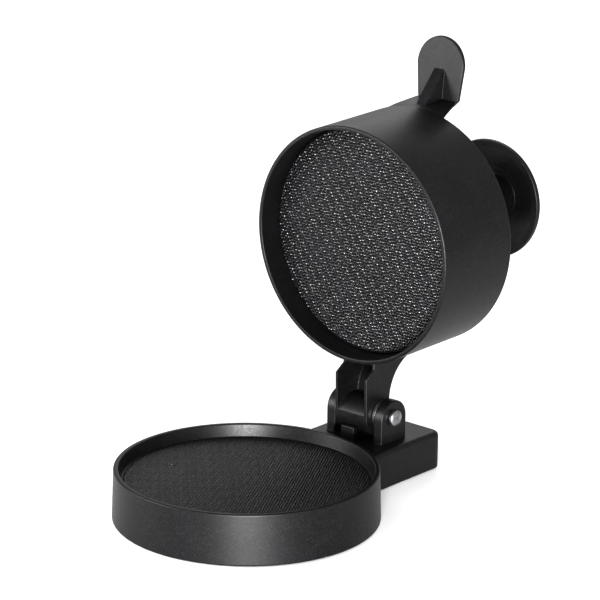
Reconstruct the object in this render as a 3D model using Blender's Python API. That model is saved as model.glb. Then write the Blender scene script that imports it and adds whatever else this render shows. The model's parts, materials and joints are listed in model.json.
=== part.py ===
"""Patty press: a round dish with a hinged pressing cylinder.

The cylinder swings on a pin behind the dish. Inside it a press plate sits on a threaded spindle. Turning
the knob sets the plate's depth. Pushing the knob slides the threaded sleeve, the spindle and the plate
towards the mouth against a spring. The model shows the press open, with the lid resting on its stop.
Metres, +Z up. The origin is on the table, under the middle of the open press, and +Y runs from the dish
to the hinge.
"""

import math

import bmesh
import bpy

MM = 0.001

# Dish and hinge block. Heights are above the table.
FOOT_PROUD = 0.5 * MM
RIM_Z = 25.4 * MM
FLOOR_Z = 19.05 * MM
FLOOR_R = 59.4 * MM
RIM_R = 63.5 * MM
DISH_FOOT_R = 64.2 * MM
CASTING_WALL = 4.0 * MM
BLOCK_HALF_WIDTH = 25.6 * MM
BLOCK_REAR_Y = 117.5 * MM
BLOCK_Z = 19.6 * MM
BLOCK_CORNER_R = 5.0 * MM
BLOCK_FILLET = 2.6 * MM

# Hinge.
PIN_Y = 87.7 * MM
PIN_Z = 32.0 * MM
PIN_R = 3.1 * MM
EAR_INNER_X = 12.4 * MM
EAR_OUTER_X = 17.8 * MM
EAR_R = 9.45 * MM
EAR_Y = 88.3 * MM
EAR_Z = 31.0 * MM
CLOSE_DEG = 88.38
MOUTH_GAP = 0.4 * MM

# Pressing cylinder. Depths are measured from its mouth towards the knob.
MOUTH_R = 59.27 * MM
CLOSED_END_R = 59.7 * MM
BORE_R = 57.15 * MM
CYLINDER_L = 50.8 * MM
END_WALL = 4.5 * MM
BOSS_R = 14.0 * MM
BOSS_TOP = 56.8 * MM

# Hinge arm.
ARM_HALF_WIDTH = 10.05 * MM
CHANNEL_HALF_WIDTH = 8.6 * MM
KNUCKLE_R = 11.5 * MM
ARM_TOP = 38.5 * MM
ARM_UNDER = 20.6 * MM
ARM_ROOT_Y = 57.9 * MM
ARM_FILLET_R = 21.5 * MM
ARM_FILLET_Y = 82.5 * MM
ARM_FILLET_Z = ARM_TOP + ARM_FILLET_R
WEB = 2.5 * MM

# Press plate and its drive.
PLATE_R = 56.6 * MM
PLATE_RECESS = 12.0 * MM
PLATE_T = 3.5 * MM
PLATE_SKIRT = 7.0 * MM
SPINDLE_R = 5.0 * MM
SLEEVE_R = 7.5 * MM
SLEEVE_START = 42.9 * MM
SEAT_START = 89.5 * MM
SEAT_T = 2.0 * MM
SEAT_R = 11.3 * MM
KNOB_START = 92.0 * MM
KNOB_HUB_R = 11.5 * MM
KNOB_R = 31.0 * MM
KNOB_END = 126.0 * MM
SPRING_R = 10.0 * MM
SPRING_WIRE_R = 0.9 * MM
SPRING_TURNS = 7.5

# Lifting tab and the tongue that carries it. The tab's heights are those of its front face.
TAB_FOOT_Y = -61.0 * MM
TAB_FOOT_Z = 86.93 * MM
TAB_FOOT_HALF = 12.6 * MM
TAB_T = 2.2 * MM
TAB_R = 14.4 * MM
TAB_CENTRE_Y = -77.3 * MM
TAB_LEAN_DEG = 6.1
TONGUE_T = 3.0 * MM

CLEAR = 0.3 * MM
SNUG = 0.15 * MM
ROUND = 72
SMALL_ROUND = 24

# The middle of the open press along Y, between the front of the dish and the back of the knob.
KNOB_BACK_Y = PIN_Y + (KNOB_END + FLOOR_Z + MOUTH_GAP - PIN_Z) * math.sin(math.radians(CLOSE_DEG))
KNOB_BACK_Y -= PIN_Y * math.cos(math.radians(CLOSE_DEG))
MIDDLE_Y = (KNOB_BACK_Y - DISH_FOOT_R) / 2


def clear_scene():
    for obj in list(bpy.data.objects):
        bpy.data.objects.remove(obj, do_unlink=True)


def make_material(name, color, roughness, metallic):
    material = bpy.data.materials.new(name)
    material.use_nodes = True
    shader = material.node_tree.nodes["Principled BSDF"]
    shader.inputs["Base Color"].default_value = (*color, 1.0)
    shader.inputs["Roughness"].default_value = roughness
    shader.inputs["Metallic"].default_value = metallic
    return material


def make_empty(name, location, parent=None, turn_x=0.0):
    empty = bpy.data.objects.new(name, None)
    empty.location = location
    empty.rotation_euler.x = turn_x
    empty.parent = parent
    bpy.context.scene.collection.objects.link(empty)
    return empty


def make_object(name, mesh_data, parent, material=None, location=(0, 0, 0)):
    """A named object from a bmesh, with its faces turned outwards and its round sides smooth."""
    bmesh.ops.recalc_face_normals(mesh_data, faces=mesh_data.faces)
    mesh = bpy.data.meshes.new(name)
    mesh_data.to_mesh(mesh)
    mesh_data.free()
    mesh.shade_smooth()
    mesh.set_sharp_from_angle(angle=math.radians(30))
    obj = bpy.data.objects.new(name, mesh)
    obj.location = location
    obj.parent = parent
    if material:
        mesh.materials.append(material)
    else:
        obj.hide_render = True
        obj.display_type = "WIRE"
    bpy.context.scene.collection.objects.link(obj)
    return obj


def loft(rings):
    """A closed solid through rings of points, with a flat cap at each end."""
    mesh_data = bmesh.new()
    rows = [[mesh_data.verts.new(point) for point in ring] for ring in rings]
    for row, after in zip(rows, rows[1:]):
        for i in range(len(row)):
            j = (i + 1) % len(row)
            mesh_data.faces.new((row[i], row[j], after[j], after[i]))
    mesh_data.faces.new(rows[0])
    mesh_data.faces.new(rows[-1])
    return mesh_data


def turned(outline, segments):
    """A solid of revolution about Z. The outline's (radius, z) points go round once; radius 0 is a pole."""
    mesh_data = bmesh.new()
    rings = []
    for radius, z in outline:
        if radius == 0:
            rings.append([mesh_data.verts.new((0, 0, z))])
            continue
        angles = [2 * math.pi * i / segments for i in range(segments)]
        rings.append([mesh_data.verts.new((radius * math.cos(a), radius * math.sin(a), z)) for a in angles])
    for ring, after in zip(rings, rings[1:] + rings[:1]):
        if len(ring) == 1 and len(after) == 1:
            continue
        for i in range(segments):
            j = (i + 1) % segments
            corners = [ring[i % len(ring)], ring[j % len(ring)], after[j % len(after)], after[i % len(after)]]
            mesh_data.faces.new(list(dict.fromkeys(corners)))
    return mesh_data


def prism_x(outline, low_x, high_x):
    """A solid with a (y, z) outline, between two X positions."""
    return loft([[(x, y, z) for y, z in outline] for x in (low_x, high_x)])


def prism_z(outline, low_z, high_z):
    """A solid with an (x, y) outline, between two heights."""
    return loft([[(x, y, z) for x, y in outline] for z in (low_z, high_z)])


def cylinder_x(radius, low_x, high_x, y, z, segments=SMALL_ROUND):
    return prism_x(arc(y, z, radius, 0, 360, segments)[:-1], low_x, high_x)


def arc(across, up, radius, start_deg, end_deg, steps):
    angles = [math.radians(start_deg + (end_deg - start_deg) * i / steps) for i in range(steps + 1)]
    return [(across + radius * math.cos(a), up + radius * math.sin(a)) for a in angles]


def rounded_rectangle(low_x, high_x, low_y, high_y, radius, steps=5):
    points = arc(high_x - radius, low_y + radius, radius, -90, 0, steps)
    points += arc(high_x - radius, high_y - radius, radius, 0, 90, steps)
    points += arc(low_x + radius, high_y - radius, radius, 90, 180, steps)
    points += arc(low_x + radius, low_y + radius, radius, 180, 270, steps)
    return points


def combine(target, tool, operation):
    modifier = target.modifiers.new(tool.name, "BOOLEAN")
    modifier.object = tool
    modifier.operation = operation
    modifier.solver = "EXACT"


def add(target, name, mesh_data, parent):
    combine(target, make_object(name, mesh_data, parent), "UNION")


def cut(target, name, mesh_data, parent, location=(0, 0, 0)):
    combine(target, make_object(name, mesh_data, parent, location=location), "DIFFERENCE")


def tube(inner_r, outer_r, start, end):
    return [(inner_r, start), (outer_r, start), (outer_r, end), (inner_r, end)]


clear_scene()
CAST = make_material("black_cast_aluminium", (0.018, 0.018, 0.020), 0.42, 0.6)
PLATE = make_material("black_coated_plate", (0.014, 0.014, 0.016), 0.38, 0.6)
STEEL = make_material("bright_steel", (0.62, 0.62, 0.63), 0.28, 1.0)
SPRING_STEEL = make_material("spring_steel", (0.34, 0.34, 0.35), 0.32, 1.0)
BRONZE = make_material("bearing_bronze", (0.42, 0.27, 0.12), 0.4, 1.0)
RUBBER = make_material("black_rubber", (0.02, 0.02, 0.02), 0.8, 0.0)

base_frame = make_empty("base_frame", (0, -MIDDLE_Y, 0))
lid_frame = make_empty("lid_hinge_axis", (0, PIN_Y, PIN_Z), base_frame, -math.radians(CLOSE_DEG))
# The lid is drawn as it lies when closed: Z up out of the dish, with the cylinder's mouth at depth 0.
lid = make_empty("lid_closed_frame", (0, -PIN_Y, -PIN_Z), lid_frame)
press = make_empty("press_axis", (0, 0, FLOOR_Z + MOUTH_GAP), lid)


FOOT_R = 5.5 * MM
FOOT_T = 3.0 * MM
FOOT_PLACES = {
    "foot_front_left": (-38.0 * MM, -38.0 * MM),
    "foot_front_right": (38.0 * MM, -38.0 * MM),
    "foot_rear_left": (-16.5 * MM, 107.6 * MM),
    "foot_rear_right": (16.5 * MM, 107.6 * MM),
}


def build_base():
    rim_edge = 0.6 * MM
    dish = [
        (0, FLOOR_Z),
        (FLOOR_R, FLOOR_Z),
        (FLOOR_R + 0.6 * MM, FLOOR_Z + 0.85 * MM),
        (61.0 * MM, RIM_Z - 0.4 * MM),
        (61.4 * MM, RIM_Z),
        (RIM_R - rim_edge, RIM_Z),
        (RIM_R, RIM_Z - rim_edge),
        (DISH_FOOT_R, FOOT_PROUD + rim_edge),
        (DISH_FOOT_R - rim_edge, FOOT_PROUD),
        (61.4 * MM, FOOT_PROUD),
        (60.6 * MM, 12.5 * MM),
        (58.6 * MM, FLOOR_Z - CASTING_WALL),
        (0, FLOOR_Z - CASTING_WALL),
    ]
    base = make_object("base_casting", turned(dish, ROUND), base_frame, CAST)

    # The block starts inside the dish wall, where a cylinder trims its front.
    block_front = 50.0 * MM
    fillet_steps = 4
    foot_edge = 0.8 * MM
    rings = [(foot_edge, FOOT_PROUD), (0, FOOT_PROUD + foot_edge)]
    for i in range(fillet_steps + 1):
        turn = math.radians(90 * i / fillet_steps)
        rings.append((BLOCK_FILLET * (1 - math.cos(turn)), BLOCK_Z + BLOCK_FILLET * (math.sin(turn) - 1)))
    block = make_object(
        "base_block",
        loft(
            [
                [
                    (x, y, z)
                    for x, y in rounded_rectangle(
                        -BLOCK_HALF_WIDTH + inset,
                        BLOCK_HALF_WIDTH - inset,
                        block_front,
                        BLOCK_REAR_Y - inset,
                        BLOCK_CORNER_R - inset,
                    )
                ]
                for inset, z in rings
            ]
        ),
        base_frame,
    )
    trim_r = 62.2 * MM
    trim_top = 30 * MM
    trim = [(0, -MM), (trim_r, -MM), (trim_r, trim_top), (0, trim_top)]
    cut(block, "block_front_trim", turned(trim, ROUND), base_frame)
    combine(base, block, "UNION")

    ear_foot = 15.0 * MM
    ear = [(EAR_Y - EAR_R, ear_foot), (EAR_Y + EAR_R, ear_foot)] + arc(EAR_Y, EAR_Z, EAR_R, 0, 180, 16)
    add(base, "ear_right_shape", prism_x(ear, EAR_INNER_X, EAR_OUTER_X), base_frame)
    add(base, "ear_left_shape", prism_x(ear, -EAR_OUTER_X, -EAR_INNER_X), base_frame)

    # The lug fills the mouth of the arm's channel when the lid is closed.
    lug_half = 4.1 * MM
    lug_top = 26.7 * MM
    lug_front = 73.7 * MM
    lug = [(lug_front, ear_foot), (79.0 * MM, ear_foot), (76.8 * MM, lug_top), (lug_front, lug_top)]
    add(base, "lug_shape", prism_x(lug, -lug_half, lug_half), base_frame)
    # The heel of the open arm rests on this pad.
    pad_half = 9.0 * MM
    pad = [(88.5 * MM, ear_foot), (98.0 * MM, ear_foot), (97.0 * MM, 20.2 * MM), (89.0 * MM, 20.1 * MM)]
    add(base, "stop_pad_shape", prism_x(pad, -pad_half, pad_half), base_frame)

    hollow_top = BLOCK_Z - CASTING_WALL
    hollow_half = BLOCK_HALF_WIDTH - CASTING_WALL
    hollow_front = 68.0 * MM
    hollow_rear = BLOCK_REAR_Y - CASTING_WALL
    hollow = rounded_rectangle(-hollow_half, hollow_half, hollow_front, hollow_rear, 3.0 * MM, 3)
    cut(base, "block_hollow", prism_z(hollow, -MM, hollow_top), base_frame)
    cut(
        base,
        "pin_hole",
        cylinder_x(PIN_R + CLEAR, -EAR_OUTER_X - MM, EAR_OUTER_X + MM, PIN_Y, PIN_Z),
        base_frame,
    )
    # Each foot sits in a post that hangs from the casting's ceiling.
    post_r = FOOT_R + 2.5 * MM
    socket_z = FOOT_T + CLEAR
    for name, (x, y) in FOOT_PLACES.items():
        ceiling = (FLOOR_Z if y < 0 else BLOCK_Z) - CASTING_WALL / 2
        post = prism_z(arc(x, y, post_r, 0, 360, SMALL_ROUND)[:-1], FOOT_PROUD + 0.4 * MM, ceiling)
        add(base, name + "_post", post, base_frame)
        socket = prism_z(arc(x, y, FOOT_R + CLEAR, 0, 360, SMALL_ROUND)[:-1], -MM, socket_z)
        cut(base, name + "_socket", socket, base_frame)
    return base


def build_feet():
    edge = 0.5 * MM
    for name, (x, y) in FOOT_PLACES.items():
        foot = [(0, 0), (FOOT_R - edge, 0), (FOOT_R, edge), (FOOT_R, FOOT_T), (0, FOOT_T)]
        make_object(name, turned(foot, SMALL_ROUND), base_frame, RUBBER, (x, y, 0))


def build_hinge_pin():
    head_r = 4.1 * MM
    head_start = EAR_OUTER_X + CLEAR
    tail = 20.8 * MM
    dome = 1.0 * MM
    head_t = 2.6 * MM
    outline = [
        (0, -tail),
        (PIN_R - 0.5 * MM, -tail),
        (PIN_R, -tail + 0.5 * MM),
        (PIN_R, head_start),
        (head_r, head_start),
        (head_r, head_start + head_t - dome),
        (head_r * 0.86, head_start + head_t - 0.35 * dome),
        (head_r * 0.5, head_start + head_t - 0.05 * dome),
        (0, head_start + head_t),
    ]
    pin = make_object("hinge_pin", turned(outline, SMALL_ROUND), base_frame, STEEL, (0, PIN_Y, PIN_Z))
    pin.rotation_euler.y = math.radians(90)

    clip_t = 1.0 * MM
    clip_r = 5.4 * MM
    clip_start = -EAR_OUTER_X - CLEAR - clip_t
    clip = tube(PIN_R + SNUG, clip_r, clip_start, clip_start + clip_t)
    clip_obj = make_object("hinge_pin_clip", turned(clip, SMALL_ROUND), base_frame, STEEL, (0, PIN_Y, PIN_Z))
    clip_obj.rotation_euler.y = math.radians(90)

    washer_r = 7.6 * MM
    for side, name in ((-1, "hinge_washer_left"), (1, "hinge_washer_right")):
        ends = sorted((side * (ARM_HALF_WIDTH + CLEAR), side * (EAR_INNER_X - CLEAR)))
        washer = turned(tube(PIN_R + CLEAR, washer_r, ends[0], ends[1]), SMALL_ROUND)
        obj = make_object(name, washer, base_frame, STEEL, (0, PIN_Y, PIN_Z))
        obj.rotation_euler.y = math.radians(90)


BUSH_INNER_R = PIN_R + CLEAR
BUSH_OUTER_R = 4.8 * MM
BUSH_INNER_END = 0.4 * MM
GUIDE_R = 9.6 * MM
GUIDE_START = 46.6 * MM
GUIDE_END = BOSS_TOP - 0.2 * MM


def arm_outline():
    """The arm's side view as it lies when closed, from under the root round the knuckle to the top."""
    points = [(ARM_ROOT_Y, 26.6 * MM), (63.2 * MM, 26.6 * MM), (67.1 * MM, ARM_UNDER)]
    points += [(y, max(z, ARM_UNDER)) for y, z in arc(PIN_Y, PIN_Z, KNUCKLE_R, -90, 0, 8)]
    points += [(PIN_Y + KNUCKLE_R, ARM_TOP)]
    points += arc(ARM_FILLET_Y, ARM_FILLET_Z, ARM_FILLET_R, -90, -160, 8)
    points += [(ARM_ROOT_Y, 58.0 * MM)]
    return points


def channel_outline():
    """The side view of the channel in the arm, open downwards when closed."""
    end_y = 61.2 * MM
    mouth_z = 15.0 * MM
    knuckle_r = 11.3 * MM
    knuckle_y = 91.2 * MM
    knuckle_z = 31.2 * MM
    web_r = ARM_FILLET_R + WEB
    lowest = math.degrees(math.acos((ARM_FILLET_Y - end_y) / web_r))
    points = [(end_y, mouth_z)]
    points += arc(ARM_FILLET_Y, ARM_FILLET_Z, web_r, -180 + lowest, -96, 7)
    points += arc(knuckle_y, knuckle_z, knuckle_r, 160, 245, 8)
    points += [(PIN_Y, mouth_z)]
    return points


def tongue_mesh():
    """A tongue that carries the cylinder's wall back to the tab, narrowing and flattening on the way."""
    # Height, top distance from the axis, half width, and how far the sides droop.
    stations = [
        (66.8 * MM, 59.3 * MM, 17.8 * MM, 2.66 * MM),
        (70.25 * MM, 59.78 * MM, 17.8 * MM, 2.66 * MM),
        (73.7 * MM, 60.3 * MM, 16.72 * MM, 2.17 * MM),
        (80.0 * MM, 60.7 * MM, 14.75 * MM, 1.29 * MM),
        (86.9 * MM, 61.02 * MM, TAB_FOOT_HALF, 0.3 * MM),
        (88.3 * MM, 60.9 * MM, TAB_FOOT_HALF - 0.4 * MM, 0.3 * MM),
    ]
    steps = 8
    rings = []
    for z, top, half, droop in stations:
        shares = [2 * i / steps - 1 for i in range(steps + 1)]
        outer = [(half * share, droop * share**2 - top, z) for share in shares]
        inner_half = half - TONGUE_T
        inner = [(inner_half * share, droop * share**2 - top + TONGUE_T, z) for share in reversed(shares)]
        rings.append(outer + inner)
    return loft(rings)


def tab_mesh():
    """The lifting tab: a flat plate with a round end, leaning back a little."""
    lean = math.tan(math.radians(TAB_LEAN_DEG))
    root_half = TAB_FOOT_HALF - TONGUE_T
    root_y = TAB_FOOT_Y + 3.1 * MM
    outline = [(root_half, root_y), (TAB_FOOT_HALF, TAB_FOOT_Y)]
    outline += arc(0, TAB_CENTRE_Y, TAB_R, 0, -180, 20)
    outline += [(-TAB_FOOT_HALF, TAB_FOOT_Y), (-root_half, root_y)]
    return loft(
        [[(x, y, TAB_FOOT_Z + lift + lean * (TAB_FOOT_Y - y)) for x, y in outline] for lift in (0, TAB_T)]
    )


def rib_mesh():
    """The rib that braces the tab's front against the tongue, a little wider at its top."""
    # Half width, Y and height of its foot, its top inside the tab, and its corner inside the tongue.
    corners = [
        (2.7 * MM, -59.6 * MM, 73.03 * MM),
        (3.15 * MM, -76.6 * MM, 89.36 * MM),
        (2.9 * MM, -59.6 * MM, 88.0 * MM),
    ]
    return loft([[(side * half, y, z) for half, y, z in corners] for side in (-1, 1)])


def build_housing():
    edge = 0.5 * MM
    inner_end = CYLINDER_L - END_WALL
    boss_bore = 9.9 * MM
    shell = [
        (BORE_R + edge, 0),
        (MOUTH_R - edge, 0),
        (MOUTH_R, edge),
        (CLOSED_END_R, CYLINDER_L - edge),
        (CLOSED_END_R - edge, CYLINDER_L),
        (BOSS_R + 2.0 * MM, CYLINDER_L),
        (BOSS_R, CYLINDER_L + 2.0 * MM),
        (BOSS_R, BOSS_TOP),
        (boss_bore, BOSS_TOP),
        (boss_bore, inner_end),
        (BORE_R - 2.0 * MM, inner_end),
        (BORE_R, inner_end - 2.0 * MM),
        (BORE_R, edge),
    ]
    housing = make_object("upper_housing", turned(shell, ROUND), press, CAST)
    arm = make_object("arm_shape", prism_x(arm_outline(), -ARM_HALF_WIDTH, ARM_HALF_WIDTH), lid)
    cut(arm, "arm_channel", prism_x(channel_outline(), -CHANNEL_HALF_WIDTH, CHANNEL_HALF_WIDTH), lid)
    combine(housing, arm, "UNION")
    add(housing, "tongue_shape", tongue_mesh(), lid)
    add(housing, "tab_shape", tab_mesh(), lid)
    add(housing, "rib_shape", rib_mesh(), lid)
    bore = cylinder_x(BUSH_OUTER_R + CLEAR, -ARM_HALF_WIDTH - MM, ARM_HALF_WIDTH + MM, PIN_Y, PIN_Z)
    cut(housing, "arm_bore", bore, lid)
    return housing


def build_bushes():
    for side, name in ((-1, "hinge_bush_left"), (1, "hinge_bush_right")):
        ends = sorted((side * BUSH_INNER_END, side * ARM_HALF_WIDTH))
        bush = turned(tube(BUSH_INNER_R, BUSH_OUTER_R, ends[0], ends[1]), SMALL_ROUND)
        obj = make_object(name, bush, lid_frame, BRONZE)
        obj.rotation_euler.y = math.radians(90)
    guide = tube(SLEEVE_R + CLEAR, GUIDE_R, GUIDE_START, GUIDE_END)
    make_object("guide_bush", turned(guide, SMALL_ROUND * 2), press, BRONZE)


def build_spring():
    """A coil spring between the boss and the sleeve's seat."""
    start = BOSS_TOP + CLEAR + SPRING_WIRE_R
    length = SEAT_START - CLEAR - SPRING_WIRE_R - start
    per_turn = 16
    steps = int(SPRING_TURNS * per_turn)
    sides = 6
    rings = []
    for i in range(steps + 1):
        turn = 2 * math.pi * i / per_turn
        z = start + length * i / steps
        ring = []
        for k in range(sides):
            a = 2 * math.pi * k / sides
            r = SPRING_R + SPRING_WIRE_R * math.cos(a)
            ring.append((r * math.cos(turn), r * math.sin(turn), z + SPRING_WIRE_R * math.sin(a)))
        rings.append(ring)
    make_object("return_spring", loft(rings), press, SPRING_STEEL)


def build_sleeve():
    bore = SPINDLE_R + CLEAR
    outline = [
        (bore, SLEEVE_START),
        (SLEEVE_R, SLEEVE_START),
        (SLEEVE_R, SEAT_START),
        (SEAT_R, SEAT_START),
        (SEAT_R, SEAT_START + SEAT_T),
        (bore, SEAT_START + SEAT_T),
    ]
    make_object("thread_sleeve", turned(outline, SMALL_ROUND), press, STEEL)
    washer_r = 12.5 * MM
    washer = tube(SLEEVE_R + CLEAR, washer_r, 44.9 * MM, 46.0 * MM)
    make_object("sleeve_stop_washer", turned(washer, SMALL_ROUND), press, STEEL)
    clip_r = 9.8 * MM
    clip = tube(SLEEVE_R + SNUG, clip_r, 43.7 * MM, 44.6 * MM)
    make_object("sleeve_stop_clip", turned(clip, SMALL_ROUND), press, SPRING_STEEL)


HUB_START = PLATE_RECESS + PLATE_T + CLEAR
HUB_END = 23.8 * MM
HUB_R = 9.5 * MM
HUB_FLANGE_R = 16.0 * MM
HUB_SCREW_CIRCLE_R = 12.0 * MM
SCREW_R = 1.4 * MM
SCREW_HEAD_R = 2.4 * MM
SCREW_HOLE_R = SCREW_R + 0.2 * MM


def hub_screw_places():
    angles = [math.radians(97.5 + 120 * i) for i in range(3)]
    return [(HUB_SCREW_CIRCLE_R * math.cos(a), HUB_SCREW_CIRCLE_R * math.sin(a)) for a in angles]


def build_plate():
    edge = 0.6 * MM
    back = PLATE_RECESS + PLATE_T
    outline = [
        (0, PLATE_RECESS),
        (PLATE_R - edge, PLATE_RECESS),
        (PLATE_R, PLATE_RECESS + edge),
        (PLATE_R, PLATE_RECESS + PLATE_SKIRT),
        (PLATE_R - 3.0 * MM, PLATE_RECESS + PLATE_SKIRT),
        (PLATE_R - 4.0 * MM, back),
        (0, back),
    ]
    plate = make_object("press_plate", turned(outline, ROUND), press, PLATE)
    for i, (x, y) in enumerate(hub_screw_places(), 1):
        hole = prism_z(arc(x, y, SCREW_HOLE_R, 0, 360, 12)[:-1], back - 2.4 * MM, back + MM)
        cut(plate, f"plate_screw_hole_{i}", hole, press)

    flange_t = 3.0 * MM
    cavity_r = 7.5 * MM
    roof = 20.4 * MM
    hub = [
        (cavity_r, HUB_START),
        (HUB_FLANGE_R, HUB_START),
        (HUB_FLANGE_R, HUB_START + flange_t),
        (HUB_R, HUB_START + flange_t),
        (HUB_R, HUB_END),
        (SPINDLE_R + CLEAR, HUB_END),
        (SPINDLE_R + CLEAR, roof),
        (cavity_r, roof),
    ]
    hub_obj = make_object("plate_hub", turned(hub, SMALL_ROUND), press, STEEL)
    for i, (x, y) in enumerate(hub_screw_places(), 1):
        hole = prism_z(arc(x, y, SCREW_HOLE_R, 0, 360, 12)[:-1], HUB_START - MM, HUB_START + flange_t + MM)
        cut(hub_obj, f"hub_screw_hole_{i}", hole, press)
        head = HUB_START + flange_t + CLEAR
        tip = back - 2.1 * MM
        screw = [
            (0, tip),
            (SCREW_R, tip),
            (SCREW_R, head),
            (SCREW_HEAD_R, head),
            (SCREW_HEAD_R, head + 1.1 * MM),
            (SCREW_R, head + 1.7 * MM),
            (0, head + 1.7 * MM),
        ]
        make_object(f"plate_screw_{i}", turned(screw, 12), press, STEEL, (x, y, 0))


def build_spindle():
    end = 121.5 * MM
    groove_r = 4.0 * MM
    groove_start = 18.4 * MM
    groove_end = 19.9 * MM
    outline = [
        (0, HUB_START),
        (SPINDLE_R, HUB_START),
        (SPINDLE_R, groove_start),
        (groove_r, groove_start),
        (groove_r, groove_end),
        (SPINDLE_R, groove_end),
        (SPINDLE_R, end),
        (0, end),
    ]
    make_object("spindle", turned(outline, SMALL_ROUND), press, STEEL)
    clip_r = 7.0 * MM
    clip = tube(groove_r + SNUG, clip_r, groove_start + CLEAR, groove_end - CLEAR)
    make_object("spindle_clip", turned(clip, SMALL_ROUND), press, SPRING_STEEL)


def build_knob():
    bore = SPINDLE_R + CLEAR
    bore_end = 122.0 * MM
    outline = [
        (bore, KNOB_START),
        (KNOB_HUB_R - 0.6 * MM, KNOB_START),
        (KNOB_HUB_R, KNOB_START + 0.6 * MM),
        (KNOB_HUB_R, 117.8 * MM),
        (15.0 * MM, 116.6 * MM),
        (21.0 * MM, 114.2 * MM),
        (27.6 * MM, 110.9 * MM),
        (30.2 * MM, 110.4 * MM),
        (KNOB_R, 111.2 * MM),
        (KNOB_R, 112.8 * MM),
        (30.0 * MM, 114.3 * MM),
        (26.5 * MM, 117.4 * MM),
        (21.5 * MM, 120.8 * MM),
        (15.0 * MM, 123.9 * MM),
        (8.0 * MM, 125.6 * MM),
        (0, KNOB_END),
        (0, bore_end),
        (bore, bore_end),
    ]
    knob = make_object("knob", turned(outline, ROUND), press, CAST)
    screw_z = 102.0 * MM
    screw_r = 2.0 * MM
    start = SPINDLE_R + 2 * CLEAR
    hole_r = screw_r + 0.2 * MM
    hole = [(0, 3 * MM), (hole_r, 3 * MM), (hole_r, 14 * MM), (0, 14 * MM)]
    hole_obj = make_object("set_screw_hole", turned(hole, 12), press, location=(0, 0, screw_z))
    hole_obj.rotation_euler.x = math.radians(-90)
    combine(knob, hole_obj, "DIFFERENCE")
    socket_r = 1.1 * MM
    end = KNOB_HUB_R - CLEAR
    socket_end = end - 2 * MM
    outline = [(0, start), (screw_r, start), (screw_r, end)]
    outline += [(socket_r, end), (socket_r, socket_end), (0, socket_end)]
    screw = make_object("knob_set_screw", turned(outline, 12), press, STEEL, (0, 0, screw_z))
    screw.rotation_euler.x = math.radians(-90)


build_base()
build_feet()
build_hinge_pin()
build_housing()
build_bushes()
build_spring()
build_sleeve()
build_plate()
build_spindle()
build_knob()
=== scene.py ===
"""Patty press: the visual model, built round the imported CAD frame.

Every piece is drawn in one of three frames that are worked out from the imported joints: the base frame
(dish centre on the table), the lid frame (the lid as it lies when closed) and the press frame (along the
plunger's axis, from the cylinder's mouth towards the knob). Metres, +Z up.
"""

import json
import math

import bmesh
import bpy
from mathutils import Matrix, Vector


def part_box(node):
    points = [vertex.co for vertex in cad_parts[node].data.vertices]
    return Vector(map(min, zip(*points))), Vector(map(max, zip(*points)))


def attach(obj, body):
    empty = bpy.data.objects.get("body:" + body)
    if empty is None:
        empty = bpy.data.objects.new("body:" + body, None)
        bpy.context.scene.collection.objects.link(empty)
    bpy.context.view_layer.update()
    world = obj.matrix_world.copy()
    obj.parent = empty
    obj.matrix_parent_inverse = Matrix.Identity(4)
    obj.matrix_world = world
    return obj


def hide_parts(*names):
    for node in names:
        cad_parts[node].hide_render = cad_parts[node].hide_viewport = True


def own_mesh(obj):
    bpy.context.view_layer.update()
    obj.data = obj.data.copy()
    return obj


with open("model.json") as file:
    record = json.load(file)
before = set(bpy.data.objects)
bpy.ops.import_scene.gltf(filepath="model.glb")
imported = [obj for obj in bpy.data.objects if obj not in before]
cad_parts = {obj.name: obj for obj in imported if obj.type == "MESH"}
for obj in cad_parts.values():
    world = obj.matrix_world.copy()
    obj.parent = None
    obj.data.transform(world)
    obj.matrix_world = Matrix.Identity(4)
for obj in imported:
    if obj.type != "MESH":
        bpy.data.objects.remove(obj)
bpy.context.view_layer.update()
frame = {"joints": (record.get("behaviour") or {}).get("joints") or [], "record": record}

MM = 0.001

# ---------------------------------------------------------------------------------------------------
# Driving dimensions
# ---------------------------------------------------------------------------------------------------

JOINTS = {joint["name"]: joint for joint in frame["joints"]}
HINGE = Vector(JOINTS["lid_hinge"]["pos_m"])
CLOSE = math.radians(JOINTS["lid_hinge"]["range_deg"][1])

base_low, base_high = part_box("base_casting")
DISH_FOOT_R = (base_high.x - base_low.x) / 2
DISH_Y = base_low.y + DISH_FOOT_R
PIN_Y = HINGE.y - DISH_Y
PIN_Z = HINGE.z
FOOT_PROUD = base_low.z

RIM_Z = 25.4 * MM
FLOOR_Z = 19.05 * MM
FLOOR_R = 59.4 * MM
RIM_R = 63.5 * MM
CASTING_WALL = 4.0 * MM
BLOCK_HALF_WIDTH = 25.6 * MM
BLOCK_Z = 19.6 * MM
BLOCK_CORNER_R = 5.0 * MM
BLOCK_FILLET = 2.6 * MM
MOUTH_GAP = 0.4 * MM
EAR_R = 9.45 * MM
EAR_Y = 88.3 * MM
EAR_Z = 31.0 * MM
EAR_INNER_X = 12.4 * MM
EAR_OUTER_X = 17.8 * MM
EAR_FOOT_Z = 15 * MM
PIN_R = 3.1 * MM

MOUTH_R = 59.27 * MM
CLOSED_END_R = 59.7 * MM
BORE_R = 57.15 * MM
CYLINDER_L = 50.8 * MM
END_WALL = 4.5 * MM
BOSS_R = 14.0 * MM
BOSS_TOP = 56.8 * MM
ARM_HALF_WIDTH = 10.05 * MM
CHANNEL_HALF_WIDTH = 8.6 * MM
KNUCKLE_R = 11.5 * MM
ARM_TOP = 38.5 * MM
ARM_UNDER = 20.6 * MM
ARM_ROOT_Y = 57.9 * MM
ARM_FILLET_R = 21.5 * MM
ARM_FILLET_Y = 82.5 * MM
WEB = 2.5 * MM

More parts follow.
